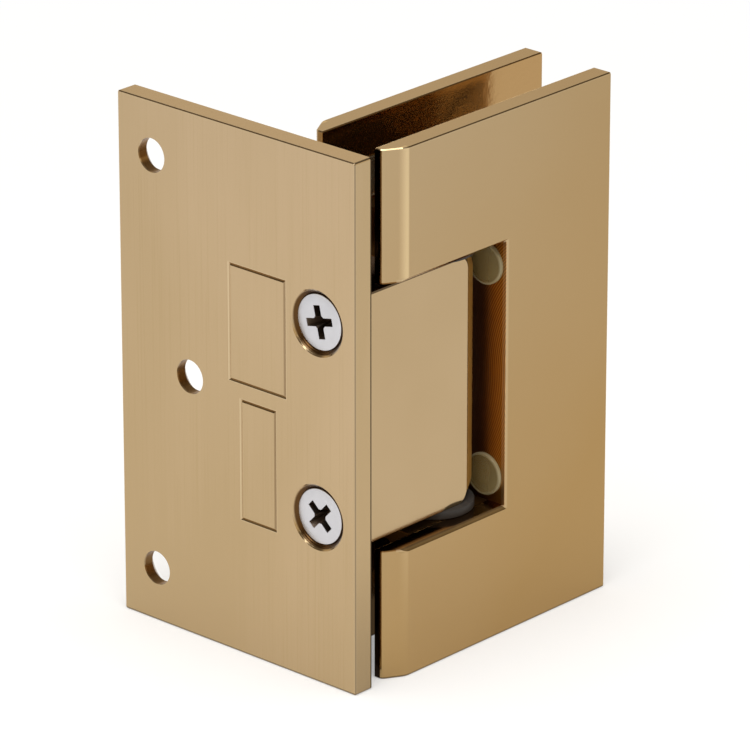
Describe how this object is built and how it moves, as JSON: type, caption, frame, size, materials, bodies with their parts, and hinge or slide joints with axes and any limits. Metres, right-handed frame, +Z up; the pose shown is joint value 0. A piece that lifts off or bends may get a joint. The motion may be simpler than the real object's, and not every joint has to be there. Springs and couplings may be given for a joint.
{
  "type": "shower door hinge",
  "caption": "Wall-to-glass shower door hinge with an offset back plate, a notched glass clamp and a sprung pivot block that centres the door, in satin brass.",
  "frame": {"origin": "on the wall plate's back face, in line with the middle of the glass, at mid-height", "axes": "+X away from the wall along the closed door, +Y along the wall away from the door's front face, +Z up along the pivot"},
  "size_m": [0.0597, 0.0523, 0.09],
  "materials": {
    "satin_brass": "satin plated brass, fine brush lines on the wall plate",
    "plated_screw": "bright zinc plate",
    "steel": "turned stainless steel",
    "nylon": "grey nylon",
    "gasket": "clear soft vinyl sheet",
    "bumper": "clear soft polyurethane"
  },
  "bodies": {
    "wall_side": {"wall_plate": "satin_brass", "knuckle_block": "satin_brass", "knuckle_screw_upper": "plated_screw", "knuckle_screw_lower": "plated_screw", "upper_bush": "nylon", "lower_bush": "nylon", "upper_thrust_washer": "nylon", "lower_thrust_washer": "nylon", "centring_spring": "steel", "spring_keeper": "nylon"},
    "door_leaf": {"front_leaf": "satin_brass", "rear_clamp_plate": "satin_brass", "clamp_screw_upper": "steel", "clamp_screw_lower": "steel", "pin_set_screw_upper": "steel", "pin_set_screw_lower": "steel", "pivot_pin": "steel", "front_gasket": "gasket", "rear_gasket": "gasket", "front_bumper_upper": "bumper", "front_bumper_lower": "bumper", "rear_bumper_upper": "bumper", "rear_bumper_lower": "bumper"}
  },
  "joints": [
    {"name": "door_swing", "type": "hinge", "parent": "wall_side", "child": "door_leaf", "pos_m": [0.0273, 0, 0], "axis": [0, 0, 1], "range_deg": [-90, 90], "deforming": ["centring_spring"]}
  ]
}
